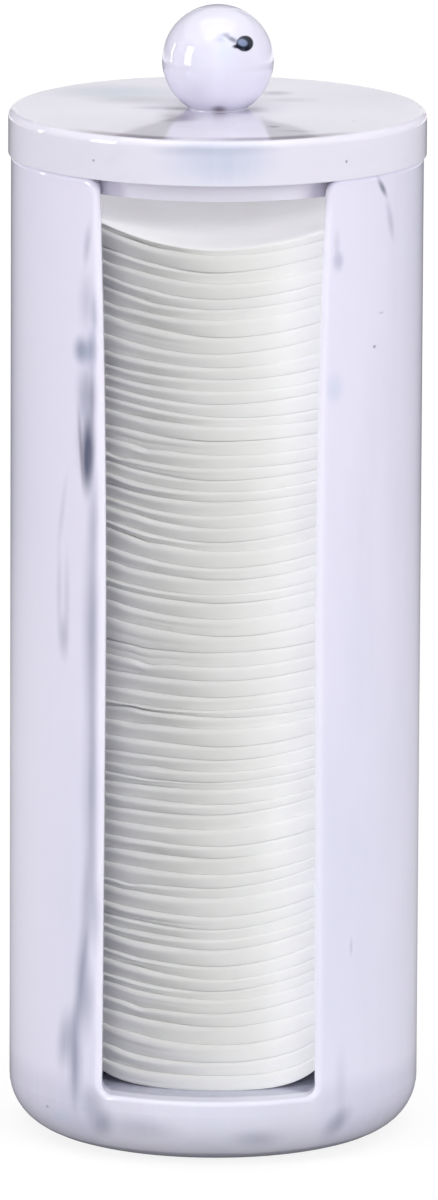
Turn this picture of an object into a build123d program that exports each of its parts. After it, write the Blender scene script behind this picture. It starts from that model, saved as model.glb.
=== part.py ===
from build123d import *
import math
import os

os.makedirs("parts", exist_ok=True)

# A round holder for cotton pads: a moulded canister with a dispensing slot down its front,
# a lid that drops into the mouth, a ball knob pegged into the lid, and the stack of pads.
# Millimetres, +Z up. The origin is the centre of the foot, and the slot faces -Y.

# ---- Driving dimensions ----

# canister
body_diameter = 74.0
body_height = 178.4  # table to the rim that the lid rests on
wall = 4.8
floor_height = 12.2  # table to the floor of the well, level with the slot's sill
floor_thickness = 3.6
foot_rounding = 9.4  # from the side wall down to the ring that stands on the table
foot_land = 2.6  # width of that ring
foot_draft = 1.2  # how much the hollow under the floor narrows towards its top
well_rounding = 1.5  # between the floor and the wall of the well

# dispensing slot, open at the rim
slot_width_sill = 38.2
slot_width_waist = 37.4  # where the slow taper ends and the flare to the rim begins
slot_width_rim = 40.1
flare_length = 90.4
sill_corner = 1.7
rim_corner = 2.6  # the wall's own top corners beside the slot
slot_edge = 0.9  # rounding of every outer edge of the canister's mouth and slot

# lid
lid_diameter = 75.0
lid_height = 8.0  # rim of the canister to the lid's flat top
lid_plate = 3.2
lid_top_rounding = 1.3
lid_lower_rounding = 0.8
spigot_depth = 3.7  # how far the ring under the lid reaches into the mouth
spigot_wall = 3.0
spigot_clearance = 0.3  # all round, between that ring and the wall of the well
spigot_rounding = 0.5

# knob
ball_diameter = 20.0
ball_lift = 8.7  # lid's top to the centre of the ball
neck_diameter = 10.8
peg_diameter = 6.0
peg_length = 5.5
peg_clearance = 0.05  # glue gap round the peg and under it
boss_wall = 2.5  # plastic round the peg's socket, and below it

# cotton pads
pad_diameter = 57.0
pad_thickness = 2.4  # as squeezed by the pads above
pad_pressed_rim = 0.7  # how far the rim is drawn in from the upper lip to the underside
pad_drift = 0.3  # how far a pad lies off the stack's axis
pad_count = 64
pads_per_node = 2

# ---- Sizes that follow from them ----

body_radius = body_diameter / 2
well_radius = body_radius - wall
foot_outer = body_radius - foot_rounding
foot_inner = foot_outer - foot_land
lid_radius = lid_diameter / 2
lid_top = body_height + lid_height
spigot_radius = well_radius - spigot_clearance
spigot_bottom = body_height - spigot_depth
peg_radius = peg_diameter / 2
socket_radius = peg_radius + peg_clearance
socket_bottom = lid_top - peg_length - peg_clearance
boss_radius = socket_radius + boss_wall
ball_centre = lid_top + ball_lift
pad_radius = pad_diameter / 2
stack_top = floor_height + pad_count * pad_thickness
golden_angle = math.pi * (3 - math.sqrt(5))

print(f"overall {lid_diameter:.1f} x {lid_diameter:.1f} x {ball_centre + ball_diameter / 2:.1f}")
print(f"stack of {pad_count} pads from {floor_height:.1f} to {stack_top:.1f}")


def touches_outside(edge):
    """True for an edge that lies on the canister's outer wall and borders its mouth or slot."""
    middle = edge @ 0.5
    from_axis = math.hypot(middle.X, middle.Y)
    return abs(from_axis - body_radius) < 0.01 and middle.Z > floor_height - 0.01


# ---- Canister: one moulding, turned profile first, then the slot cut through its front ----

with BuildPart() as canister:
    with BuildSketch(Plane.XZ):
        with BuildLine():
            Polyline(
                (0, floor_height),
                (well_radius, floor_height),
                (well_radius, body_height),
                (body_radius, body_height),
                (body_radius, foot_rounding),
            )
            RadiusArc((body_radius, foot_rounding), (foot_outer, 0), foot_rounding)
            Polyline(
                (foot_outer, 0),
                (foot_inner, 0),
                (foot_inner - foot_draft, floor_height - floor_thickness),
                (0, floor_height - floor_thickness),
                (0, floor_height),
            )
        section = make_face()
        well_corner = section.vertices().sort_by_distance((well_radius, floor_height))[0]
        fillet(well_corner, well_rounding)
    revolve(axis=Axis.Z)
    with BuildSketch(Plane.XZ):
        with BuildLine():
            sill = Line((0, floor_height), (slot_width_sill / 2, floor_height))
            jamb = Line(sill @ 1, (slot_width_waist / 2, body_height - flare_length))
            flare = TangentArc(jamb @ 1, (slot_width_rim / 2, body_height), tangent=jamb % 1)
            Polyline(flare @ 1, (0, body_height), (0, floor_height))
        half_slot = make_face()
        fillet(half_slot.vertices().sort_by_distance(sill @ 1)[0], sill_corner)
        mirror(about=Plane.YZ)
    extrude(amount=body_radius + wall, mode=Mode.SUBTRACT)
    rim_edges = canister.edges().filter_by(Axis.Y).group_by(Axis.Z)[-1]
    fillet(rim_edges, rim_corner)
    fillet(canister.edges().filter_by(touches_outside), slot_edge)

canister.part.label = "canister"
export_step(canister.part, "parts/canister.step")

# ---- Lid: a plate with a deep rim, a locating ring and a socket for the knob's peg ----

with BuildPart() as lid:
    with BuildSketch(Plane.XZ) as lid_section:
        with BuildLine():
            Polyline(
                (socket_radius, lid_top),
                (lid_radius, lid_top),
                (lid_radius, body_height),
                (spigot_radius, body_height),
                (spigot_radius, spigot_bottom),
                (spigot_radius - spigot_wall, spigot_bottom),
                (spigot_radius - spigot_wall, lid_top - lid_plate),
                (boss_radius, lid_top - lid_plate),
                (boss_radius, socket_bottom - boss_wall),
                (0, socket_bottom - boss_wall),
                (0, socket_bottom),
                (socket_radius, socket_bottom),
                close=True,
            )
        make_face()
        corners = lid_section.vertices()
        fillet(corners.sort_by_distance((lid_radius, lid_top))[0], lid_top_rounding)
        fillet(corners.sort_by_distance((lid_radius, body_height))[0], lid_lower_rounding)
        fillet(corners.sort_by_distance((spigot_radius, spigot_bottom))[0], spigot_rounding)
    revolve(axis=Axis.Z)

lid.part.label = "lid"
export_step(lid.part, "parts/lid.step")

# ---- Knob: a ball on a short neck, with the peg that is glued into the lid ----

with BuildPart() as knob:
    with BuildSketch(Plane.XZ):
        with BuildLine():
            CenterArc((0, ball_centre), ball_diameter / 2, -90, 180)
            Line((0, ball_centre + ball_diameter / 2), (0, ball_centre - ball_diameter / 2))
        make_face()
        with Locations((0, lid_top)):
            Rectangle(ball_diameter, ball_diameter, align=(Align.CENTER, Align.MAX), mode=Mode.SUBTRACT)
            Rectangle(neck_diameter / 2, ball_lift, align=(Align.MIN, Align.MIN))
            Rectangle(peg_radius, peg_length, align=(Align.MIN, Align.MAX))
    revolve(axis=Axis.Z)

knob.part.label = "knob"
export_step(knob.part, "parts/knob.step")

# ---- Cotton pads: soft discs, each lying flat on the one below and a little off the axis ----

with BuildPart() as pad:
    with BuildSketch(Plane.XZ):
        with BuildLine():
            Polyline(
                (0, 0),
                (pad_radius - pad_pressed_rim, 0),
                (pad_radius, pad_thickness),
                (0, pad_thickness),
                close=True,
            )
        make_face()
    revolve(axis=Axis.Z)


def place_of_pad(index):
    """Where pad number index lies, counted from the floor: the stack wanders round its axis."""
    bearing = index * golden_angle
    return Location(
        (
            pad_drift * math.cos(bearing),
            pad_drift * math.sin(bearing),
            floor_height + index * pad_thickness,
        )
    )


for first in range(0, pad_count, pads_per_node):
    after = min(first + pads_per_node, pad_count)
    bundle = Compound(children=[pad.part.moved(place_of_pad(index)) for index in range(first, after)])
    bundle.label = f"cotton_pads_{first // pads_per_node + 1:02d}"
    export_step(bundle, f"parts/{bundle.label}.step")
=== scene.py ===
# %% [markdown]
# # A holder for cotton pads, dressed in Blender
# The real thing is a bathroom jar moulded in milky plastic with smoke-grey marbling. A lid with a
# ball knob drops into its mouth, a slot runs down its front, and behind the slot stands a stack of
# pressed cotton pads. The CAD model already has the right shape for the three hard pieces, so they
# stay and get a finish. The pads are soft, so each one is built here as a mesh of its own.

import math

import bpy
import numpy as np
from mathutils import Matrix, Vector


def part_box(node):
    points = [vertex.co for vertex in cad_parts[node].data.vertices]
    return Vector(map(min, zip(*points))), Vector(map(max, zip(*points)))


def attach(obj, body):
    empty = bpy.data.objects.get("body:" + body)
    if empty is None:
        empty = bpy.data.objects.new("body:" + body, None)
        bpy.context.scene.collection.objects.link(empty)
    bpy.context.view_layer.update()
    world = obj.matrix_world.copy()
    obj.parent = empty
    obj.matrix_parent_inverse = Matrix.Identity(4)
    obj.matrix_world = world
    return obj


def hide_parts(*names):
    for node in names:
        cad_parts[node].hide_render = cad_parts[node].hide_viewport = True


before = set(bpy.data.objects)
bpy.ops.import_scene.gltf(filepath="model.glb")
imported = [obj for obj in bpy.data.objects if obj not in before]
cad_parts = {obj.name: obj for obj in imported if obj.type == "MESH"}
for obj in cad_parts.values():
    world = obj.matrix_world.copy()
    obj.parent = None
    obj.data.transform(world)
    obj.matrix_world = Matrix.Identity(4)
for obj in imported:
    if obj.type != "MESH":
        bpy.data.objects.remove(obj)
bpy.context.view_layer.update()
MM = 0.001

# %% [markdown]
# ## The camera comes first
# Marks on the plastic are placed by where the photograph shows them, so the camera has to exist
# before them. It was found by fitting the jar's outline, the lid's ellipse and the curve of the
# foot. A long lens far away keeps the jar's sides parallel, as the photograph does, with no shift.

# %% Camera at the photograph's viewing angle
PHOTO_WIDTH, PHOTO_HEIGHT = 438, 1200
SENSOR = 36.0
CLOSEST_SEEN, FARTHEST_SEEN = 0.1, 100
camera_distance = 2.297
camera_elevation = math.radians(11.4)
camera_azimuth = math.radians(1.55)
camera_lean = math.radians(0.287)
focal_pixels = 12728
look_at = Vector((0.67 * MM, 0, 96.5 * MM))

back = Vector((
    math.sin(camera_azimuth) * math.cos(camera_elevation),
    -math.cos(camera_azimuth) * math.cos(camera_elevation),
    math.sin(camera_elevation),
))
camera_data = bpy.data.cameras.new("photo_camera")
camera_data.sensor_width = SENSOR
camera_data.lens = focal_pixels / PHOTO_HEIGHT * SENSOR
camera_data.clip_start, camera_data.clip_end = CLOSEST_SEEN, FARTHEST_SEEN
camera = bpy.data.objects.new("photo_camera", camera_data)
bpy.context.scene.collection.objects.link(camera)
aim = (-back).to_track_quat("-Z", "Y").to_matrix() @ Matrix.Rotation(camera_lean, 3, "Z")
camera.matrix_world = Matrix.Translation(look_at + back * camera_distance) @ aim.to_4x4()
bpy.context.scene.camera = camera
print("lens", round(camera_data.lens, 1), "mm")


def photo_ray(px, py):
    """Where the camera stands, and the direction in which it sees a pixel of the photograph."""
    right = (px - PHOTO_WIDTH / 2) / focal_pixels
    up = (PHOTO_HEIGHT / 2 - py) / focal_pixels
    return look_at + back * camera_distance, (aim @ Vector((right, up, -1))).normalized()


def on_wall(px, py, radius):
    """The point of an upright round wall about the Z axis that shows at a pixel."""
    start, direction = photo_ray(px, py)
    a = direction.x ** 2 + direction.y ** 2
    b = start.x * direction.x + start.y * direction.y
    c = start.x ** 2 + start.y ** 2 - radius ** 2
    return start + direction * ((-b - math.sqrt(max(b * b - a * c, 0))) / a)


def on_level(px, py, height):
    """The point of a level surface that shows at a pixel."""
    start, direction = photo_ray(px, py)
    return start + direction * ((height - start.z) / direction.z)


# %% [markdown]
# ## Light
# The jar stands in a white studio. Softboxes on the left, in front, on the right and overhead light
# the plastic evenly, and two behind it lift its outline. The lid, the knob and the pads have lamps of
# their own, so that each comes out at its own brightness. The big lamps don't show in the gloss: a
# flat top that mirrors one would burn out when seen from the far side. The room is dim for lighting
# but white to look at, so the background is white.

# %% World and softboxes
scene = bpy.context.scene
scene.view_settings.view_transform = "Standard"
world = bpy.data.worlds.new("white_studio")
scene.world = world
world.use_nodes = True
ROOM_LIGHT = 0.18
ROOM_SEEN = 1.0


def looked_at(tree):
    """A socket that is 1 for the rays that show the background: direct, mirrored or refracted."""
    path = tree.nodes.new("ShaderNodeLightPath")
    seen = path.outputs["Is Camera Ray"]
    for other in ("Is Glossy Ray", "Is Transmission Ray"):
        either = tree.nodes.new("ShaderNodeMath")
        either.operation = "MAXIMUM"
        tree.links.new(seen, either.inputs[0])
        tree.links.new(path.outputs[other], either.inputs[1])
        seen = either.outputs[0]
    return seen


room, links = world.node_tree.nodes, world.node_tree.links
room.clear()
lighting = room.new("ShaderNodeBackground")
lighting.inputs["Color"].default_value = (1, 1, 1, 1)
lighting.inputs["Strength"].default_value = ROOM_LIGHT
backdrop = room.new("ShaderNodeBackground")
backdrop.inputs["Color"].default_value = (1, 1, 1, 1)
backdrop.inputs["Strength"].default_value = ROOM_SEEN
either = room.new("ShaderNodeMixShader")
world_out = room.new("ShaderNodeOutputWorld")
links.new(looked_at(world.node_tree), either.inputs["Fac"])
links.new(lighting.outputs[0], either.inputs[1])
links.new(backdrop.outputs[0], either.inputs[2])
links.new(either.outputs[0], world_out.inputs["Surface"])

LAMP_DISTANCE = 1.9
LAMP_AIM = 0.1
LID_AIM = 0.19


def softbox(name, azimuth, elevation, size, watts, aim_height=LAMP_AIM, distance=LAMP_DISTANCE):
    """A soft lamp. Azimuth 0 is in front of the slot and 90 on its right, in degrees. Sizes in m."""
    lamp = bpy.data.lights.new(name, "AREA")
    lamp.shape = "RECTANGLE"
    lamp.size, lamp.size_y = size
    lamp.energy = watts
    turn, rise = math.radians(azimuth), math.radians(elevation)
    target = Vector((0, 0, aim_height))
    away = Vector((math.sin(turn) * math.cos(rise), -math.cos(turn) * math.cos(rise), math.sin(rise)))
    holder = bpy.data.objects.new(name, lamp)
    holder.location = target + away * distance
    holder.rotation_euler = (-away).to_track_quat("-Z", "Y").to_euler()
    scene.collection.objects.link(holder)
    return holder


in_front = dict(azimuth=-10, elevation=2, size=(1.2, 1.0), aim_height=0.16)
on_the_right = dict(azimuth=54, elevation=10, size=(1.4, 1.2))
overhead = dict(azimuth=0, elevation=80, size=(1.5, 1.5), distance=1.5)
on_plastic = [
    softbox("softbox_left", -64, 13, (0.5, 1.1), 16),
    softbox("softbox_above", watts=10, **overhead),
    softbox("strip_left", -112, 6, (0.12, 0.9), 2.7),
]
softbox_front = softbox("softbox_front", watts=17, **in_front)
softbox_right = softbox("softbox_right", watts=27, **on_the_right)
on_lid = [
    softbox("lid_front", watts=11, **in_front),
    softbox("lid_right", watts=26, **on_the_right),
    softbox("lid_above", watts=5, **overhead),
]
behind_right = softbox("softbox_behind_right", 146, 8, (1.2, 1.2), 24)
behind_left = softbox("softbox_behind_left", -145, 8, (1.2, 1.2), 17)
pads_key = softbox("pads_key", 34, 20, (0.35, 0.35), 23)
pads_fill = softbox("pads_fill", 38, 18, (1.0, 0.4), 3.5)
pads_top = softbox("pads_top", 180, 66, (0.8, 0.8), 15)
knob_top = softbox("knob_top", 0, 66, (0.55, 0.4), 2.3, aim_height=LID_AIM, distance=0.9)
knob_right = softbox("knob_right", 62, 12, (1.4, 1.2), 24)
unmirrored = on_lid + [softbox_front, softbox_right, behind_right, behind_left, knob_right]
for lamp in unmirrored:
    lamp.visible_glossy = False
print(len(unmirrored), "lamps stay out of the gloss")

# %% [markdown]
# ## Cards and floor
# White plastic on white has no edge of its own. A photographer darkens what the plastic mirrors where
# it is seen at a slant, and that draws a grey outline. So the studio's round wall is pale in four
# places and dark between them. Upright walls, seen from above, mirror the table: here it darkens away
# from the jar. The lid mirrors the studio behind, and in it a grey flag with an arched lower edge,
# under a black bar. Only mirrored rays see these things.


# %% Things that only the gloss can see
LID_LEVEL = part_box("lid")[1].z


def glow(name, level):
    """A plain glowing finish. Gives the material and its light-giving node."""
    material = bpy.data.materials.new(name)
    material.use_nodes = True
    tree = material.node_tree
    tree.nodes.clear()
    lit = tree.nodes.new("ShaderNodeEmission")
    lit.inputs["Color"].default_value = (1, 1, 1, 1)
    lit.inputs["Strength"].default_value = level
    out = tree.nodes.new("ShaderNodeOutputMaterial")
    tree.links.new(lit.outputs[0], out.inputs["Surface"])
    return material, lit


def mirrored_only(name, points, faces, material):
    """A stage piece that only mirrored rays meet."""
    mesh = bpy.data.meshes.new(name)
    mesh.from_pydata(points, [], faces)
    mesh.materials.append(material)
    card = bpy.data.objects.new(name, mesh)
    card.visible_camera = False
    card.visible_diffuse = False
    card.visible_transmission = False
    card.visible_shadow = False
    scene.collection.objects.link(card)


def strip_of_quads(near, far):
    """Joins two rows of points, of equal length, by four-sided faces."""
    count = len(near)
    faces = [(i, i + 1, count + i + 1, count + i) for i in range(count - 1)]
    return near + far, faces


def around(radius, azimuth, height):
    """A point on a circle about the Z axis, by the azimuth that the lamps use."""
    turn = math.radians(azimuth)
    return (radius * math.sin(turn), -radius * math.cos(turn), height)


WALL_RADIUS, WALL_HEIGHT = 3.2, 2.4
PALE, DARK = 0.76, 0.12  # brightness
PALE_HALF = 12  # degrees to either side of a pale part's middle


def mirrored_wall(name, start, end, level):
    """A piece of the studio's round wall between two azimuths."""
    azimuths = np.linspace(start, end, 25)
    low = [around(WALL_RADIUS, azimuth, 0) for azimuth in azimuths]
    high = [around(WALL_RADIUS, azimuth, WALL_HEIGHT) for azimuth in azimuths]
    mirrored_only(name, *strip_of_quads(low, high), glow(name, level)[0])


for side, azimuth in (("front", 0), ("right", 90), ("behind", 180), ("left", 270)):
    mirrored_wall(f"pale_{side}", azimuth - PALE_HALF, azimuth + PALE_HALF, PALE)
    mirrored_wall(f"dark_{side}", azimuth + PALE_HALF, azimuth + 90 - PALE_HALF, DARK)

# %% The table as the jar mirrors it: grey close by, dark farther off
TABLE_REACH = 1.3
TABLE_HOLE = 29 * MM  # the jar's foot stands over it
TABLE_LEVEL = 0.2 * MM
TABLE_TONES = ((0.05, 0.16), (0.12, 0.30), (0.36, 0.30), (0.62, 0.02))  # distance in m, brightness
turns = np.linspace(0, 360, 97)
table_points, table_faces = strip_of_quads(
    [around(TABLE_HOLE, turn, TABLE_LEVEL) for turn in turns],
    [around(TABLE_REACH, turn, TABLE_LEVEL) for turn in turns])
table_glow, lit = glow("mirrored_table", 1.0)
tree = table_glow.node_tree
away = tree.nodes.new("ShaderNodeVectorMath")
away.operation = "LENGTH"
tree.links.new(tree.nodes.new("ShaderNodeTexCoord").outputs["Object"], away.inputs[0])
tones = tree.nodes.new("ShaderNodeValToRGB")
tree.links.new(away.outputs["Value"], tones.inputs["Fac"])
stops = tones.color_ramp.elements
while len(stops) < len(TABLE_TONES):
    stops.new(1.0)
for stop, (distance, tone) in zip(stops, TABLE_TONES):
    stop.position = distance
    stop.color = (tone, tone, tone, 1)
tree.links.new(tones.outputs["Color"], lit.inputs["Color"])
mirrored_only("table_in_the_mirror", table_points, table_faces, table_glow)

# %% The flag behind the lid, by where its arched edge shows on the lid
FLAG_BEHIND = 120 * MM
FLAG_TALL = 1 * MM  # above the arch's feet
FLAG_GREY = 0.26
BAR_TALL = 70 * MM
BAR_BLACK = 0.01
flag_corner = dict(px=110, py=138)
flag_crown = dict(px=219, py=114)


def mirrored_at(px, py):
    """The point behind the lid that the lid's flat top mirrors at a pixel."""
    start = on_level(px, py, LID_LEVEL)
    direction = photo_ray(px, py)[1]
    reach = (FLAG_BEHIND - start.y) / direction.y
    return Vector((start.x + direction.x * reach, FLAG_BEHIND, LID_LEVEL - direction.z * reach))


corner, crown = mirrored_at(**flag_corner), mirrored_at(**flag_crown)
flag_half = crown.x - corner.x
arch = [(crown.x + flag_half * share, FLAG_BEHIND, crown.z + (corner.z - crown.z) * share ** 2)
        for share in np.linspace(-1, 1, 21)]
top_edge = [(x, y, corner.z + FLAG_TALL) for x, y, z in arch]
mirrored_only("grey_flag", *strip_of_quads(arch, top_edge), glow("flag_grey", FLAG_GREY)[0])
above_it = [(x, y, z + BAR_TALL) for x, y, z in top_edge]
mirrored_only("black_bar", *strip_of_quads(top_edge, above_it), glow("bar_black", BAR_BLACK)[0])
print("flag", round(2 * flag_half / MM), "mm wide, from", round(crown.z / MM), "mm up")

# %% [markdown]
# ### The floor
# A sheet of paper that looks white, but lights the jar only faintly from below: a floor that shone as
# brightly as it looks would wash out the foot. What it lacks, a glow adds for the rays that look at
# it. The paper itself still takes the jar's shadow.

# %% Floor
FLOOR_REACH = 30.0
FLOOR_DROP = 0.05 * MM  # under the foot, so that the two surfaces don't flicker
PAPER = (0.20, 0.20, 0.203)
PAPER_SEEN = 0.82
PAPER_GLOW = 0.08
floor_mesh = bpy.data.meshes.new("studio_floor")
corners = [(-FLOOR_REACH, -FLOOR_REACH, 0), (FLOOR_REACH, -FLOOR_REACH, 0),
           (FLOOR_REACH, FLOOR_REACH, 0), (-FLOOR_REACH, FLOOR_REACH, 0)]
floor_mesh.from_pydata(corners, [], [(0, 1, 2, 3)])
floor = bpy.data.objects.new("studio_floor", floor_mesh)
floor.location.z = -FLOOR_DROP
scene.collection.objects.link(floor)

paper = bpy.data.materials.new("white_paper_floor")
paper.use_nodes = True
nodes, links = paper.node_tree.nodes, paper.node_tree.links
sheet = nodes["Principled BSDF"]
sheet.inputs["Base Color"].default_value = (*PAPER, 1)
sheet.inputs["Roughness"].default_value = 0.6
sheet.inputs["Specular IOR Level"].default_value = 0.0
lift = nodes.new("ShaderNodeEmission")
lift.inputs["Strength"].default_value = PAPER_SEEN
faint = nodes.new("ShaderNodeEmission")
faint.inputs["Strength"].default_value = PAPER_GLOW
shown = nodes.new("ShaderNodeMixShader")
both = nodes.new("ShaderNodeAddShader")
links.new(looked_at(paper.node_tree), shown.inputs["Fac"])
links.new(faint.outputs[0], shown.inputs[1])
links.new(lift.outputs[0], shown.inputs[2])
links.new(sheet.outputs[0], both.inputs[0])
links.new(shown.outputs[0], both.inputs[1])
links.new(both.outputs[0], nodes["Material Output"].inputs["Surface"])
floor_mesh.materials.append(paper)

# %% [markdown]
# ## Shared effects
# Four effects are used by more than one finish, so each is a node group with its own inputs: wisps
# of smoke that run through the plastic, the sway of the melt, single soft marks that follow it (inky
# streaks, and also painted glow and painted shade), and the faint unevenness of a moulded gloss
# surface. Groups give out masks, places and heights only. The shaders stay in the materials.


# %% Helpers for building node groups
def new_group(name, inputs, outputs):
    """A shader node group with named sockets, given as (name, kind, default)."""
    group = bpy.data.node_groups.new(name, "ShaderNodeTree")
    for label, kind, default in inputs:
        made = group.interface.new_socket(label, in_out="INPUT", socket_type=kind)
        made.default_value = default
    for label, kind in outputs:
        group.interface.new_socket(label, in_out="OUTPUT", socket_type=kind)
    return group, group.nodes.new("NodeGroupInput"), group.nodes.new("NodeGroupOutput")


def use_group(tree, group, **values):
    """Places a group in a tree and sets its inputs: half_width sets the socket Half Width."""
    node = tree.nodes.new("ShaderNodeGroup")
    node.node_tree = group
    for key, value in values.items():
        node.inputs[key.replace("_", " ").title()].default_value = value
    return node


def feed(tree, slot, value):
    """Joins a socket to an input, or sets it to a plain value. None leaves it as it is."""
    if isinstance(value, bpy.types.NodeSocket):
        tree.links.new(value, slot)
    elif value is not None:
        slot.default_value = value


def math_node(tree, operation, first, second=None, third=None):
    """A Math node whose inputs are sockets or plain numbers. Gives its output socket."""
    node = tree.nodes.new("ShaderNodeMath")
    node.operation = operation
    for slot, value in zip(node.inputs, (first, second, third)):
        feed(tree, slot, value)
    return node.outputs[0]


def vector_node(tree, operation, first, second=None):
    """A Vector Math node whose inputs are sockets or triples. Gives the node."""
    node = tree.nodes.new("ShaderNodeVectorMath")
    node.operation = operation
    for slot, value in zip(node.inputs, (first, second)):
        feed(tree, slot, value)
    return node


def noise_node(tree, vector, scale, detail=3.0, roughness=0.5):
    """A Noise Texture node whose place and scale are sockets or plain values. Gives the node."""
    node = tree.nodes.new("ShaderNodeTexNoise")
    feed(tree, node.inputs["Vector"], vector)
    feed(tree, node.inputs["Scale"], scale)
    node.inputs["Detail"].default_value = detail
    node.inputs["Roughness"].default_value = roughness
    return node


def ramp_between(tree, value, low, high):
    """A smooth step from 0 at low to 1 at high."""
    node = tree.nodes.new("ShaderNodeMapRange")
    node.interpolation_type = "SMOOTHSTEP"
    for label, given in (("Value", value), ("From Min", low), ("From Max", high)):
        feed(tree, node.inputs[label], given)
    return node.outputs["Result"]


MIX_AMOUNT, MIX_FIRST, MIX_SECOND, MIX_RESULT = 0, 6, 7, 2  # sockets of a Mix node set to colours


def mix_colour(tree, amount, first, second):
    """Mixes two colours, sockets or triples, by a socket."""
    node = tree.nodes.new("ShaderNodeMix")
    node.data_type = "RGBA"
    tree.links.new(amount, node.inputs[MIX_AMOUNT])
    for slot, value in ((MIX_FIRST, first), (MIX_SECOND, second)):
        feed(tree, node.inputs[slot], (*value, 1) if isinstance(value, tuple) else value)
    return node.outputs[MIX_RESULT]


def srgb(red, green, blue):
    """A colour written as 0 to 255 display values, turned into the linear values that nodes use."""
    def linear(value):
        share = value / 255
        return share / 12.92 if share <= 0.04045 else ((share + 0.055) / 1.055) ** 2.4
    return linear(red), linear(green), linear(blue)


# %% Wisps: broad clouds of smoke drawn out along the flow of the plastic
def make_wisps():
    group, given, out = new_group(
        "smoke_wisps",
        [("Place", "NodeSocketVector", (0, 0, 0)), ("Stretch", "NodeSocketVector", (1, 1, 0.35)),
         ("Scale", "NodeSocketFloat", 40.0), ("Swirl", "NodeSocketFloat", 0.012),
         ("Thin", "NodeSocketFloat", 0.5), ("Thick", "NodeSocketFloat", 0.75)],
        [("Mask", "NodeSocketFloat")])
    where = vector_node(group, "MULTIPLY", given.outputs["Place"], given.outputs["Stretch"])
    swirl = noise_node(group, where.outputs[0], given.outputs["Scale"], detail=2)
    centred = vector_node(group, "SUBTRACT", swirl.outputs["Color"], (0.5, 0.5, 0.5))
    push = vector_node(group, "SCALE", centred.outputs[0])
    group.links.new(given.outputs["Swirl"], push.inputs["Scale"])
    moved = vector_node(group, "ADD", where.outputs[0], push.outputs[0])
    cloud = noise_node(group, moved.outputs[0], given.outputs["Scale"], detail=5, roughness=0.55)
    mask = ramp_between(group, cloud.outputs["Fac"], given.outputs["Thin"], given.outputs["Thick"])
    group.links.new(mask, out.inputs["Mask"])
    return group


WISPS = make_wisps()


# %% Flow: how the melt swayed sideways, and the fine threads it was drawn into
def make_flow():
    group, given, out = new_group(
        "melt_flow",
        [("Place", "NodeSocketVector", (0, 0, 0)), ("Stretch", "NodeSocketVector", (1, 1, 0.4)),
         ("Scale", "NodeSocketFloat", 80.0), ("Sway", "NodeSocketFloat", 0.0016)],
        [("Moved", "NodeSocketVector"), ("Threads", "NodeSocketFloat")])
    where = vector_node(group, "MULTIPLY", given.outputs["Place"], given.outputs["Stretch"])
    sway = noise_node(group, where.outputs[0], given.outputs["Scale"], detail=2)
    centred = vector_node(group, "SUBTRACT", sway.outputs["Color"], (0.5, 0.5, 0.5))
    push = vector_node(group, "SCALE", centred.outputs[0])
    group.links.new(given.outputs["Sway"], push.inputs["Scale"])
    moved = vector_node(group, "ADD", given.outputs["Place"], push.outputs[0])
    fine = vector_node(group, "MULTIPLY", moved.outputs[0], (1, 1, 0.12))
    threads = noise_node(group, fine.outputs[0], 600.0, detail=2)
    drawn = ramp_between(group, threads.outputs["Fac"], 0.25, 0.6)
    group.links.new(moved.outputs[0], out.inputs["Moved"])
    group.links.new(math_node(group, "MULTIPLY_ADD", drawn, 0.14, 0.86), out.inputs["Threads"])
    return group


FLOW = make_flow()


# %% Streak: one mark, an ellipsoid with a soft edge that can lean sideways; it draws inky streaks and also painted glow and shade
def make_streak():
    group, given, out = new_group(
        "ink_and_painted_light",
        [("Place", "NodeSocketVector", (0, 0, 0)), ("Centre", "NodeSocketVector", (0, 0, 0)),
         ("Half Width", "NodeSocketFloat", 0.002), ("Half Depth", "NodeSocketFloat", 0.006),
         ("Half Height", "NodeSocketFloat", 0.006), ("Lean", "NodeSocketFloat", 0.0),
         ("Slant", "NodeSocketFloat", 0.0), ("Core", "NodeSocketFloat", 0.1)],
        [("Mask", "NodeSocketFloat")])
    offset = vector_node(group, "SUBTRACT", given.outputs["Place"], given.outputs["Centre"])
    axes = group.nodes.new("ShaderNodeSeparateXYZ")
    group.links.new(offset.outputs[0], axes.inputs[0])
    leaning = math_node(group, "MULTIPLY_ADD", axes.outputs["Z"], given.outputs["Lean"],
                        axes.outputs["X"])
    leaning = math_node(group, "MULTIPLY_ADD", axes.outputs["Y"], given.outputs["Slant"], leaning)
    across = math_node(group, "DIVIDE", leaning, given.outputs["Half Width"])
    deep = math_node(group, "DIVIDE", axes.outputs["Y"], given.outputs["Half Depth"])
    along = math_node(group, "DIVIDE", axes.outputs["Z"], given.outputs["Half Height"])
    sum_of_squares = math_node(group, "MULTIPLY", across, across)
    for part in (deep, along):
        sum_of_squares = math_node(group, "MULTIPLY_ADD", part, part, sum_of_squares)
    far = math_node(group, "SQRT", sum_of_squares)
    edge = ramp_between(group, far, 1.0, given.outputs["Core"])
    group.links.new(edge, out.inputs["Mask"])
    return group


STREAK = make_streak()


# %% Gloss: how a moulded surface wavers, and the faint film of handling on it
def make_gloss():
    group, given, out = new_group(
        "moulded_gloss",
        [("Place", "NodeSocketVector", (0, 0, 0)), ("Smoothest", "NodeSocketFloat", 0.04),
         ("Roughest", "NodeSocketFloat", 0.10)],
        [("Roughness", "NodeSocketFloat"), ("Height", "NodeSocketFloat")])
    film = noise_node(group, given.outputs["Place"], 90.0, detail=4, roughness=0.6)
    spread = group.nodes.new("ShaderNodeMapRange")
    spread.inputs["From Min"].default_value = 0.3
    spread.inputs["From Max"].default_value = 0.7
    group.links.new(film.outputs["Fac"], spread.inputs["Value"])
    group.links.new(given.outputs["Smoothest"], spread.inputs["To Min"])
    group.links.new(given.outputs["Roughest"], spread.inputs["To Max"])
    ripple = noise_node(group, given.outputs["Place"], 55.0, detail=1)
    group.links.new(spread.outputs["Result"], out.inputs["Roughness"])
    group.links.new(ripple.outputs["Fac"], out.inputs["Height"])
    return group


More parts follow.
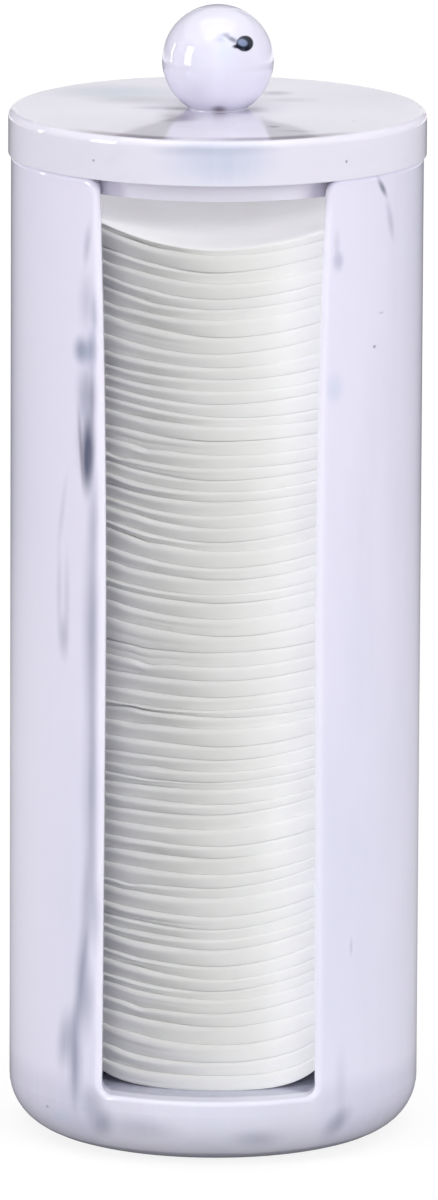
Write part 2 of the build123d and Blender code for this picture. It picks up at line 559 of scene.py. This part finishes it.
GLOSS = make_gloss()
print("groups", [group.name for group in (WISPS, FLOW, STREAK, GLOSS)])

# %% [markdown]
# ## Marbled plastic
# Milky lavender-white plastic, with grey-blue smoke folded into the melt. In the mould the smoke is
# drawn out along the flow, so on the canister it stands upright, on the lid it runs outwards from
# the middle and on the ball it gathers to one inky drop. A picture of marble would be easier, but
# noise in the solid's own space has no seams and runs on round every edge. Along the lid's front edge
# a thin mauve band is painted: a painted dark reflection, not smoke.

# %% Colours and the material's recipe
MILK = srgb(231, 228, 245)
LID_MILK = srgb(237, 234, 248)
KNOB_MILK = srgb(213, 211, 226)
# The next colour is not a colour of the plastic. It is a painted glow, laid along the slot.
PAINTED_GLOW_WHITE = srgb(250, 248, 255)
SMOKE = srgb(146, 149, 172)
HAZE = srgb(203, 211, 231)
BLUE = srgb(120, 132, 162)
SLATE = srgb(96, 100, 124)
MAUVE = srgb(122, 108, 126)
INK = srgb(20, 26, 40)


def place_socket(tree):
    """The solid's own space. A CAD node stands in the row frame, so this is metres in the frame."""
    return tree.nodes.new("ShaderNodeTexCoord").outputs["Object"]


def raise_relief(tree, shader, height, strength, distance):
    """Gives a finish its fine relief, by the heights in a socket."""
    bump = tree.nodes.new("ShaderNodeBump")
    bump.inputs["Strength"].default_value = strength
    bump.inputs["Distance"].default_value = distance
    tree.links.new(height, bump.inputs["Height"])
    tree.links.new(bump.outputs["Normal"], shader.inputs["Normal"])


FRONT_FROM, FRONT_TO = -0.62, -0.82  # where that band fades in, as shares of the radius along Y


def front_edge_shade(tree, place, colour, radius, wide, tint, strength):
    """A painted dark reflection, in a band just inside the front edge of a round top."""
    axes = tree.nodes.new("ShaderNodeSeparateXYZ")
    tree.links.new(place, axes.inputs[0])
    flat = vector_node(tree, "MULTIPLY", place, (1, 1, 0))
    away = vector_node(tree, "LENGTH", flat.outputs[0]).outputs["Value"]
    inner = ramp_between(tree, away, radius - wide, radius - 0.4 * wide)
    outer = ramp_between(tree, away, radius + 0.2 * wide, radius)
    front = ramp_between(tree, axes.outputs["Y"], FRONT_FROM * radius, FRONT_TO * radius)
    patches = noise_node(tree, place, 70.0, detail=1)
    uneven = ramp_between(tree, patches.outputs["Fac"], 0.15, 0.65)
    amount = math_node(tree, "MULTIPLY", inner, outer)
    amount = math_node(tree, "MULTIPLY", amount, front)
    amount = math_node(tree, "MULTIPLY", amount, uneven)
    return mix_colour(tree, math_node(tree, "MULTIPLY", amount, strength), colour, tint)


def marbled_plastic(name, milk, clouds, marks, smoothest, roughest, sway, edge_shade=None):
    """Gloss plastic with clouds (values of smoke_wisps) and marks (values of ink_and_painted_light)."""
    material = bpy.data.materials.new(name)
    material.use_nodes = True
    tree = material.node_tree
    shader = tree.nodes["Principled BSDF"]
    place = place_socket(tree)
    flow = use_group(tree, FLOW, sway=sway)
    tree.links.new(place, flow.inputs["Place"])
    colour = milk
    for effects, group, where in ((clouds, WISPS, place), (marks, STREAK, flow.outputs["Moved"])):
        for effect in effects:
            own = {key: value for key, value in effect.items() if key not in ("tint", "strength")}
            node = use_group(tree, group, **own)
            tree.links.new(where, node.inputs["Place"])
            amount = math_node(tree, "MULTIPLY", node.outputs["Mask"], effect["strength"])
            if group is STREAK:
                amount = math_node(tree, "MULTIPLY", amount, flow.outputs["Threads"])
            colour = mix_colour(tree, amount, colour, effect["tint"])
    if edge_shade:
        colour = front_edge_shade(tree, place, colour, **edge_shade)
    tree.links.new(colour, shader.inputs["Base Color"])
    gloss = use_group(tree, GLOSS, smoothest=smoothest, roughest=roughest)
    tree.links.new(place, gloss.inputs["Place"])
    tree.links.new(gloss.outputs["Roughness"], shader.inputs["Roughness"])
    raise_relief(tree, shader, gloss.outputs["Height"], 0.04, 0.4 * MM)
    shader.inputs["Specular IOR Level"].default_value = 0.5
    shader.inputs["Subsurface Weight"].default_value = 0.2
    shader.inputs["Subsurface Radius"].default_value = (1.0, 0.8, 0.9)
    shader.inputs["Subsurface Scale"].default_value = 1.5 * MM
    return material


def finish_node(node_name, material):
    """Gives a CAD node this finish."""
    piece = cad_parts[node_name]
    piece.data.materials.clear()
    piece.data.materials.append(material)


def mark(centre, wide, tall, tint, strength, deep=None, lean=0.0, slant=0.0, core=0.0):
    """A mark round a point. Half sizes in mm: wide along X, deep along Y, tall along Z. It is even
    out to the share core of its size and fades from there."""
    deep = wide + tall if deep is None else deep
    return dict(centre=centre, half_width=wide * MM, half_depth=deep * MM, half_height=tall * MM,
                lean=lean, slant=slant, core=core, tint=tint, strength=strength)


# %% [markdown]
# ### Where the smoke shows, and where light and shade are painted
# Each mark is laid where the photograph shows it and given its size on the real thing. Upright marks
# follow the melt from the gate in the foot to the rim: a thread beside the slot that thickens to ink,
# a blue knot above it, and a long band that bends outwards near the foot. Three marks are far larger
# than the rest and are painted light, not smoke: a painted glow stands for light that has run along
# the wall and out at the slot, so the plastic is palest there; painted shade greys the wall of the
# well; and painted shade darkens a band round the foot.

# %% Canister: the marks left of the slot
body_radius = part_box("canister")[1].x


def wall_mark(px, py, wide, tall, tint, strength, **more):
    """A mark on the canister's outer wall, at a pixel of the photograph."""
    return mark(on_wall(px, py, body_radius), wide, tall, tint, strength, **more)


def smoke_mark(px, py, wide, tall, strength, **more):
    """A mark of plain smoke on the outer wall, at a pixel of the photograph."""
    return wall_mark(px, py, wide, tall, SMOKE, strength, **more)


left_of_slot = [
    smoke_mark(px=87.5, py=244, wide=1.0, tall=5.5, strength=0.42, lean=-0.10),
    wall_mark(px=94.5, py=315, wide=1.0, tall=6.0, tint=BLUE, strength=0.34),
    smoke_mark(px=86.5, py=302, wide=2.2, tall=7.5, strength=0.34),
    smoke_mark(px=82, py=394, wide=2.0, tall=7.0, strength=0.34),
    wall_mark(px=82, py=350, wide=2.3, tall=3.6, tint=BLUE, strength=0.72, core=0.1),
    wall_mark(px=91.5, py=350, wide=1.4, tall=5.0, tint=BLUE, strength=0.62),
    smoke_mark(px=88.5, py=394, wide=2.3, tall=8.0, strength=0.60),
    wall_mark(px=92, py=400, wide=0.8, tall=8.0, tint=SLATE, strength=0.40),
    smoke_mark(px=85.5, py=438, wide=2.6, tall=9.5, strength=0.50),
    wall_mark(px=88, py=455, wide=1.7, tall=9.6, tint=SLATE, strength=0.97, lean=-0.03, core=0.2),
    wall_mark(px=80.3, py=445, wide=0.6, tall=9.5, tint=MAUVE, strength=0.55, lean=0.07),
    smoke_mark(px=62.5, py=511, wide=0.8, tall=10, strength=0.22, lean=-0.11),
    smoke_mark(px=59.5, py=590, wide=0.8, tall=12, strength=0.24),
    smoke_mark(px=67, py=600, wide=0.9, tall=12, strength=0.24),
    smoke_mark(px=63.5, py=636, wide=1.4, tall=6.0, strength=0.42),
    smoke_mark(px=93.5, py=520, wide=1.6, tall=14, strength=0.40),
    smoke_mark(px=91, py=630, wide=2.3, tall=27, strength=0.48),
    smoke_mark(px=92.5, py=640, wide=1.1, tall=26, strength=0.40),
    smoke_mark(px=90, py=790, wide=2.3, tall=27, strength=0.46),
    smoke_mark(px=91, py=780, wide=1.0, tall=24, strength=0.34),
    smoke_mark(px=88, py=895, wide=1.9, tall=15, strength=0.50, lean=-0.05),
    wall_mark(px=96, py=915, wide=1.4, tall=9.5, tint=BLUE, strength=0.32),
    smoke_mark(px=82.5, py=968, wide=1.9, tall=13, strength=0.62, lean=-0.09),
    smoke_mark(px=86.5, py=1002, wide=2.0, tall=10, strength=0.46, lean=-0.05),
    smoke_mark(px=82.5, py=975, wide=0.8, tall=13, strength=0.42, lean=-0.11),
    smoke_mark(px=77.5, py=1016, wide=1.7, tall=9.0, strength=0.48, lean=-0.13),
    smoke_mark(px=75, py=1058, wide=2.1, tall=12, strength=0.66),
    smoke_mark(px=74.5, py=1062, wide=0.8, tall=12, strength=0.42),
    smoke_mark(px=65, py=1040, wide=2.3, tall=8.0, strength=0.56, lean=-0.10),
]

# %% Canister: the foot, and the quieter right side
foot_and_right = [
    wall_mark(px=60, py=1117, wide=3.0, tall=2.2, tint=HAZE, strength=0.55),
    smoke_mark(px=92, py=1103, wide=3.0, tall=4.2, strength=0.46),
    smoke_mark(px=101, py=1123, wide=3.6, tall=4.4, strength=0.72),
    smoke_mark(px=140, py=1128, wide=9.0, tall=3.2, strength=0.36),
    smoke_mark(px=258, py=1140, wide=7.0, tall=2.6, strength=0.42),
    smoke_mark(px=338, py=1122, wide=3.2, tall=4.0, strength=0.66, lean=-0.5),
    smoke_mark(px=341, py=1082, wide=1.6, tall=9.0, strength=0.18),
    wall_mark(px=209, py=1157, wide=0.42, tall=0.4, tint=INK, strength=0.85, core=0.5),
    wall_mark(px=47, py=1107, wide=0.4, tall=0.4, tint=MAUVE, strength=0.55, core=0.4),
    wall_mark(px=335, py=1133, wide=0.3, tall=0.3, tint=SLATE, strength=0.60, core=0.4),
    wall_mark(px=280, py=1142, wide=0.25, tall=0.25, tint=SLATE, strength=0.55, core=0.4),
    wall_mark(px=338.5, py=261, wide=1.4, tall=2.6, tint=BLUE, strength=0.36, core=0.1),
    smoke_mark(px=337, py=244, wide=0.8, tall=3.4, strength=0.22, core=0.1),
    wall_mark(px=335, py=388, wide=2.4, tall=4.0, tint=HAZE, strength=0.50, core=0.1),
    wall_mark(px=382, py=188, wide=0.7, tall=2.7, tint=SLATE, strength=0.80, lean=0.42, core=0.1),
    smoke_mark(px=390, py=220, wide=0.8, tall=5.5, strength=0.36, lean=0.16, core=0.1),
    wall_mark(px=374.3, py=347, wide=0.4, tall=0.4, tint=SLATE, strength=0.60, core=0.4),
    wall_mark(px=381, py=313, wide=0.8, tall=0.3, tint=SLATE, strength=0.35, core=0.1),
    smoke_mark(px=351, py=946, wide=0.4, tall=2.4, strength=0.30, core=0.1),
]
canister_clouds = [
    dict(scale=26.0, swirl=0.02, stretch=(1, 1, 0.18), thin=0.54, thick=0.85, tint=SMOKE,
         strength=0.22),
    dict(scale=14.0, swirl=0.03, stretch=(1, 1, 0.4), thin=0.45, thick=0.75, tint=HAZE,
         strength=0.45),
]
ENDLESS = 4000  # mm, so tall that the mark is a column
# Painted glow: lightens the plastic along the slot and its edges, for light that comes out through
# the wall there.
painted_slot_glow = mark((0, -body_radius, 0.1), wide=21.4, tall=ENDLESS, deep=60, tint=PAINTED_GLOW_WHITE,
                 strength=0.35, core=0.88)
# Painted shade: greys the wall of the well all round.
inside = mark((0, 0, 0.1), wide=33.6, tall=ENDLESS, deep=33.6, tint=SMOKE, strength=0.60, core=0.97)
# Painted shade: darkens a band all round the foot.
painted_foot_shade = mark((0, 0, 8.0 * MM), wide=80, tall=9.0, deep=80, tint=SMOKE, strength=0.23, core=0.5)
canister_marks = [painted_slot_glow, inside, painted_foot_shade] + left_of_slot + foot_and_right
finish_node("canister", marbled_plastic("canister_plastic", MILK, canister_clouds, canister_marks,
                                        0.05, 0.10, sway=0.0010))
print("canister", len(left_of_slot + foot_and_right), "marks")

# %% Lid: blue haze deep in its front, grey smears that run out from the knob, and painted shadow at its foot
lid_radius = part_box("lid")[1].x


def top_mark(px, py, wide, deep, tint, strength, **more):
    """A mark on the lid's flat top, at a pixel of the photograph."""
    return mark(on_level(px, py, LID_LEVEL), wide, 2.0, tint, strength, deep=deep, **more)


def flange_mark(px, py, wide, tall, tint, strength, **more):
    """A mark on the lid's upright rim, at a pixel of the photograph."""
    return mark(on_wall(px, py, lid_radius), wide, tall, tint, strength, deep=6.0, **more)


lid_marks = [
    flange_mark(px=214, py=151, wide=16, tall=1.7, tint=BLUE, strength=0.42),
    flange_mark(px=222, py=163, wide=15, tall=6.5, tint=HAZE, strength=0.80),
    flange_mark(px=93, py=160, wide=0.3, tall=0.3, tint=SLATE, strength=0.6, core=0.4),
    flange_mark(px=346, py=162, wide=0.25, tall=0.4, tint=SLATE, strength=0.6, core=0.4),
    top_mark(px=120, py=92, wide=17, deep=11, tint=HAZE, strength=0.85, core=0.1),
    top_mark(px=136, py=100, wide=12, deep=7, tint=SMOKE, strength=0.40),
    top_mark(px=166, py=108, wide=9, deep=3.2, tint=SMOKE, strength=0.55),
    top_mark(px=180, py=109, wide=4.0, deep=3.4, tint=SLATE, strength=0.62),
    # Painted shadow on the lid at the knob's foot, on its left.
    top_mark(px=180, py=117, wide=5.5, deep=9.5, tint=MAUVE, strength=0.80),
    # Painted shadow on the lid at the knob's foot, on its right.
    top_mark(px=250, py=110, wide=4.5, deep=6.0, tint=SLATE, strength=0.45),
    top_mark(px=275, py=93, wide=5.0, deep=4.0, tint=SLATE, strength=0.50),
    top_mark(px=290, py=100, wide=7.0, deep=4.0, tint=SMOKE, strength=0.30),
    top_mark(px=274, py=126.5, wide=1.6, deep=1.8, tint=SLATE, strength=0.60),
    top_mark(px=296, py=131, wide=5.0, deep=2.0, tint=MAUVE, strength=0.22, slant=0.9, core=0.1),
    top_mark(px=176, py=120, wide=5.0, deep=3.0, tint=MAUVE, strength=0.35, slant=-0.9),
    # Painted contact shadow where the knob's neck stands on the lid.
    top_mark(px=221, py=112, wide=2.4, deep=4.4, tint=MAUVE, strength=0.75),
    top_mark(px=354, py=121, wide=0.5, deep=0.3, tint=SLATE, strength=0.5, core=0.4),
    top_mark(px=234, py=123, wide=0.3, deep=0.4, tint=SLATE, strength=0.5, core=0.4),
]
lid_clouds = [
    dict(scale=34.0, swirl=0.03, stretch=(0.7, 1.2, 1), thin=0.52, thick=0.85, tint=SMOKE,
         strength=0.20),
]
# Painted dark reflection along the lid's front edge.
edge_shade = dict(radius=36.0 * MM, wide=3.8 * MM, tint=MAUVE, strength=0.78)
finish_node("lid", marbled_plastic("lid_plastic", LID_MILK, lid_clouds, lid_marks, 0.025, 0.05,
                                   sway=0.0012, edge_shade=edge_shade))

# %% Knob: clear milk with one curl of ink and the haze that trails from it
knob_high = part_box("knob")[1]
ball_radius = knob_high.x
ball_centre = Vector((0, 0, knob_high.z - ball_radius))


def ball_mark(px, py, wide, tall, tint, strength, **more):
    """A mark on the ball, at a pixel of the photograph."""
    start, direction = photo_ray(px, py)
    to_centre = ball_centre - start
    along = to_centre.dot(direction)
    miss = to_centre.length_squared - along ** 2
    centre = start + direction * (along - math.sqrt(max(ball_radius ** 2 - miss, 0)))
    return mark(centre, wide, tall, tint, strength, **more)


knob_marks = [
    ball_mark(px=225, py=50, wide=2.9, tall=3.8, tint=HAZE, strength=0.55),
    ball_mark(px=221, py=36.5, wide=1.9, tall=1.3, tint=BLUE, strength=0.50),
    ball_mark(px=226, py=34.5, wide=1.1, tall=0.7, tint=SLATE, strength=0.60),
    ball_mark(px=232.5, py=39.5, wide=1.2, tall=1.2, tint=SLATE, strength=0.85, lean=1.3),
    ball_mark(px=245, py=43.6, wide=1.75, tall=1.5, tint=INK, strength=1.0, core=0.8),
    ball_mark(px=238.5, py=46.2, wide=1.4, tall=0.55, tint=INK, strength=1.0, core=0.4),
    ball_mark(px=242.6, py=42.6, wide=1.1, tall=0.85, tint=BLUE, strength=1.0, core=0.5, lean=0.4),
    # Painted contact shadow on the ball's neck, where it meets the lid.
    ball_mark(px=219, py=109, wide=2.0, tall=1.2, tint=MAUVE, strength=0.75, deep=6.0),
]
knob_clouds = [
    dict(scale=38.0, swirl=0.02, stretch=(1, 1, 0.7), thin=0.5, thick=0.85, tint=HAZE,
         strength=0.35),
]
finish_node("knob", marbled_plastic("knob_plastic", KNOB_MILK, knob_clouds, knob_marks, 0.02, 0.04,
                                    sway=0.0004))
print("ball", round(ball_radius / MM, 1), "mm in radius")

# %% [markdown]
# ## Cotton pads
# A pad is a disc of cotton fleece. In the jar some sixty of them squeeze each other, so their faces
# meet and only the rims show: each rim bulges just under its upper lip and draws in towards the pad
# below, which gives a bright line with a soft grey band above it. Simulating sixty pads in contact is
# slow and unsure. Instead the faces that neighbours share are drawn first, as gently waved sheets,
# and each pad fills the space between two sheets.

# %% Sizes of the pads, from the frame and from the real thing
PADS_PER_NODE = 2
pad_nodes = sorted(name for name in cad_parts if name.startswith("cotton_pads_"))
pad_count = PADS_PER_NODE * len(pad_nodes)
floor_of_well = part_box(pad_nodes[0])[0].z
top_of_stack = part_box(pad_nodes[-1])[1].z
pad_thickness = (top_of_stack - floor_of_well) / pad_count
pad_radius = 28.5 * MM
pad_drift = 0.15 * MM
golden_angle = math.pi * (3 - math.sqrt(5))
AROUND = 180
random = np.random.default_rng(57)
print(pad_count, "pads,", round(pad_thickness / MM, 2), "mm each")

# %% [markdown]
# ### How the stack bends
# The stack was pushed down at its middle, so its layers rise towards both sides of the slot. Near
# the floor they rise more on the right, higher up more on the left, and in between they are nearly
# flat. A few heights with their rise to the left and right are enough: the rest is smooth between.

# %% The sheets between the pads
RISE_AT = 19.0 * MM  # from the middle of the slot to its edge
RISE_PAST = 1.2  # how far past that the rise goes on, as a share of it
NEAR_FLOOR, STEEP_AT_FLOOR, STEEP_ABOVE = 10 * MM, 5.0, 1.8  # low pads lie flat but for their edge
BENDS = (  # height above the table, rise at the slot's left edge, rise at its right edge, in mm
    (12, 1.5, 2.4), (24, 1.9, 2.6), (38, 1.4, 2.9), (60, 0.2, 2.1), (82, 0.4, 1.1), (97, 1.3, 1.5),
    (111, 2.9, 1.9), (122, 1.8, 1.0), (132, 1.5, 0.4), (140, 1.7, 1.3), (150, 2.5, 1.9),
    (166, 3.0, 1.9),
)
bend_heights, rise_left, rise_right = (np.array(column) * MM for column in zip(*BENDS))
thickness = np.clip(random.normal(1, 0.22, pad_count), 0.6, 1.55)
level = floor_of_well + np.concatenate([[0], np.cumsum(thickness / thickness.sum())]) * (
    top_of_stack - floor_of_well)
WAVES = 6
wave_size = 0.24 * MM / np.arange(1, WAVES + 1)  # the shorter a wave, the lower
wave_height = random.normal(0, 1, (pad_count + 1, WAVES)) * wave_size
wave_start = random.uniform(0, 2 * math.pi, (pad_count + 1, WAVES))
wave_height[0] = 0
wave_height[-1] *= 0.3
kink_height = random.normal(0, 0.20, pad_count + 1) * MM
kink_height[[0, -1]] = 0
kink_at = np.radians(random.uniform(-133, -112, pad_count + 1))  # in the left quarter of the slot
KINK_WIDTH = math.radians(4.5)


def sheet_height(number, x, y):
    """Height of the face between pad number - 1 and pad number, at points of the pad."""
    angle = np.arctan2(y, x)
    outwards = np.clip(np.hypot(x, y) / pad_radius, 0, 1) ** 2
    turns = np.arange(1, WAVES + 1)
    wave = np.cos(angle[..., None] * turns + wave_start[number]) @ wave_height[number]
    kink = kink_height[number] * np.exp(-((angle - kink_at[number]) / KINK_WIDTH) ** 2)
    rise = np.where(x < 0, np.interp(level[number], bend_heights, rise_left),
                    np.interp(level[number], bend_heights, rise_right))
    above_floor = level[number] - floor_of_well
    steepness = np.interp(above_floor, (0, NEAR_FLOOR), (STEEP_AT_FLOOR, STEEP_ABOVE))
    bend = rise * np.minimum(np.abs(x) / RISE_AT, RISE_PAST) ** steepness
    return level[number] + bend + (wave + kink) * outwards


# %% [markdown]
# ### One pad
# The rim is a row of rings. From the crease below, it swells out to a bulge and rounds over to the
# upper lip. Handling has brushed the rims flatter on one side, so the bulge is strongest on the left.
# The lowest pad is squeezed flat, and the top one, with nothing on it, has a rounder lip.

# %% The rim of a pad
BULGE_AT = 0.74  # share of the pad's thickness
UP_THE_RIM = (0.0, 0.06, 0.13, 0.21, 0.29, 0.37, 0.45, 0.53, 0.60, 0.67, 0.74, 0.80, 0.86, 0.91,
              0.95, 0.98, 1.0)
INWARDS = (0.25, 0.55, 0.8, 0.93)
INWARDS_FROM = 1.6 * MM  # the flat faces' rings start this far inside the rim
GAP = 0.004  # share of the thickness left free under and over a pad, so that faces don't coincide
TOP_PAD_LIP = 0.7 * MM
RELIEF = (  # bearing from the slot's middle in degrees, how strongly the rim swells there
    (-180, 0.6), (-90, 0.6), (-46, 0.28), (-40, 0.45), (-35, 0.8), (-29, 1.1), (-21, 1.05),
    (-14, 0.82), (-7, 0.5), (0, 0.28), (12, 0.15), (50, 0.11), (90, 0.5), (180, 0.6),
)


def wander(angle, strength, turns):
    """A value that wanders gently round the pad."""
    start = random.uniform(0, 2 * math.pi, len(turns))
    size = random.normal(0, strength, len(turns))
    return np.cos(angle[:, None] * turns + start) @ size


def rim_of_pad(number, angle):
    """Where the edge lies, and how deep the rim draws in, rounds over and folds, at each angle."""
    bearing_of_point = (np.degrees(angle) + 270) % 360 - 180
    brushed = np.interp(bearing_of_point, *zip(*RELIEF))
    depth = 1.10 + 0.28 * random.uniform(-1, 1) + wander(angle, 0.09, np.arange(1, 6))
    depth = np.clip(depth, 0.35, 1.6) * brushed * MM
    if number == 0:
        depth = depth * 0.3
    lip = (0.42 + wander(angle, 0.05, np.arange(1, 5))) * (0.35 + 0.65 * brushed) * MM
    if number == pad_count - 1:
        lip = lip + TOP_PAD_LIP
    out_of_line = random.normal(0, 0.10) * brushed + wander(angle, 0.05, np.arange(2, 8))
    edge = pad_radius - (0.25 - out_of_line) * MM
    fold_at = random.uniform(0.3, 0.6)
    fold = np.clip(wander(angle, 0.12, np.arange(1, 5)) + random.uniform(-0.15, 0.1), 0, 0.22)
    return edge, depth, lip, fold * brushed * MM, fold_at


# %% The mesh of a pad
def pad_mesh(number):
    """Rings of points from the middle of the underside, round the rim, to the middle on top."""
    angle = np.linspace(0, 2 * math.pi, AROUND, endpoint=False)
    bearing = number * golden_angle
    centre = pad_drift * np.array([math.cos(bearing), math.sin(bearing)])
    edge, depth, lip, fold, fold_at = rim_of_pad(number, angle)
    rings = [(share, 0.0, False) for share in INWARDS] + [(1, share, True) for share in UP_THE_RIM]
    rings += [(share, 1.0, False) for share in reversed(INWARDS)]
    points = []
    for share, up, on_rim in rings:
        if on_rim:
            drawn_in = depth * max(0, 1 - up / BULGE_AT) ** 1.35
            rounded = lip * max(0, (up - BULGE_AT) / (1 - BULGE_AT)) ** 2
            dent = fold * math.exp(-((up - fold_at) / 0.09) ** 2)
            reach = edge - drawn_in - rounded - dent
        else:
            reach = (edge - INWARDS_FROM) * share
        x = centre[0] + reach * np.cos(angle)
        y = centre[1] + reach * np.sin(angle)
        below = sheet_height(number, x, y)
        above = sheet_height(number + 1, x, y)
        z = below + (above - below) * (GAP + (1 - 2 * GAP) * up)
        points.append(np.stack([x, y, z], axis=1))
    for up in (GAP, 1 - GAP):
        x, y = np.array([centre[0]]), np.array([centre[1]])
        below, above = sheet_height(number, x, y), sheet_height(number + 1, x, y)
        points.append(np.stack([x, y, below + (above - below) * up], axis=1))
    mesh = bpy.data.meshes.new(f"pad_{number + 1:02d}")
    mesh.from_pydata(np.concatenate(points).tolist(), [], pad_faces(len(rings)))
    mesh.shade_smooth()
    mesh.validate()
    return mesh


def pad_faces(ring_count):
    """Four-sided faces between the rings, and a fan round the middle of each flat face."""
    faces = []
    for ring in range(ring_count - 1):
        for step in range(AROUND):
            a = ring * AROUND + step
            b = ring * AROUND + (step + 1) % AROUND
            faces.append((a, b, b + AROUND, a + AROUND))
    under, top = ring_count * AROUND, ring_count * AROUND + 1
    last = (ring_count - 1) * AROUND
    for step in range(AROUND):
        after = (step + 1) % AROUND
        faces.append((under, after, step))
        faces.append((top, last + step, last + after))
    return faces


# %% Cotton: matt fleece with fine fibres, soft enough for light to bleed into the creases
cotton = bpy.data.materials.new("pressed_cotton")
cotton.use_nodes = True
tree = cotton.node_tree
shader = tree.nodes["Principled BSDF"]
place = place_socket(tree)
pulled = vector_node(tree, "MULTIPLY", place, (1, 1, 5))
fibres = noise_node(tree, pulled.outputs[0], 900.0, detail=6, roughness=0.7)
lint = noise_node(tree, place, 60.0, detail=2)
patch = ramp_between(tree, lint.outputs["Fac"], 0.3, 0.7)
colour = mix_colour(tree, patch, srgb(239, 239, 238), srgb(235, 235, 233))
tree.links.new(colour, shader.inputs["Base Color"])
shader.inputs["Roughness"].default_value = 0.95
shader.inputs["Specular IOR Level"].default_value = 0.1
shader.inputs["Subsurface Weight"].default_value = 0.35
shader.inputs["Subsurface Radius"].default_value = (1.0, 0.95, 0.9)
shader.inputs["Subsurface Scale"].default_value = 0.8 * MM
raise_relief(tree, shader, fibres.outputs["Fac"], 0.2, 0.12 * MM)

# %% Stack them
pads = []
for number in range(pad_count):
    mesh = pad_mesh(number)
    mesh.materials.append(cotton)
    piece = bpy.data.objects.new(f"cotton_pad_{number + 1:02d}", mesh)
    scene.collection.objects.link(piece)
    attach(piece, "canister")
    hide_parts(pad_nodes[number // PADS_PER_NODE])
    pads.append(piece)
print("stack ends", round(top_of_stack / MM, 1), "mm above the table")

# %% [markdown]
# ## Light through the wall
# The plastic is milky: half of the light that meets the wall beside the slot goes on into the well
# and washes over the cotton. Tracing that through solid plastic is slow and grainy. Instead the pads
# have a key light that only the pads and the lid shade, as if the wall let it through, a weaker fill
# that everything shades, and one more lamp that reaches the top pad through the lid.


# %% Which lamp lights what
def lamp_list(name, pieces, state):
    """A set of pieces for a lamp. The pieces are taken in or left out, as state says."""
    group = bpy.data.collections.new(name)
    for piece in pieces:
        group.objects.link(piece)
    for entry in group.collection_objects:
        entry.light_linking.link_state = state
    return group


lid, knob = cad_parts["lid"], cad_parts["knob"]
all_but_pads = lamp_list("all_but_pads", pads, "EXCLUDE")
all_but_knob = lamp_list("all_but_knob", [knob], "EXCLUDE")
canister_and_knob = lamp_list("canister_and_knob", pads + [lid], "EXCLUDE")
canister_alone = lamp_list("canister_alone", pads + [lid, knob], "EXCLUDE")
pads_alone = lamp_list("pads_alone", pads, "INCLUDE")
pads_and_lid = lamp_list("pads_and_lid", pads + [lid], "INCLUDE")
top_pad_alone = lamp_list("top_pad_alone", pads[-1:], "INCLUDE")
lid_alone = lamp_list("lid_alone", [lid], "INCLUDE")
knob_alone = lamp_list("knob_alone", [knob], "INCLUDE")
lit_by = [
    (all_but_pads, on_plastic),
    (all_but_knob, [behind_left]),
    (canister_and_knob, [softbox_front]),
    (canister_alone, [softbox_right]),
    (lid_alone, on_lid),
    (pads_alone, [pads_key, pads_fill]),
    (top_pad_alone, [pads_top]),
    (knob_alone, [knob_top, knob_right]),
]
for pieces, lamps in lit_by:
    for lamp in lamps:
        lamp.light_linking.receiver_collection = pieces
pads_key.light_linking.blocker_collection = pads_and_lid
pads_top.light_linking.blocker_collection = pads_alone
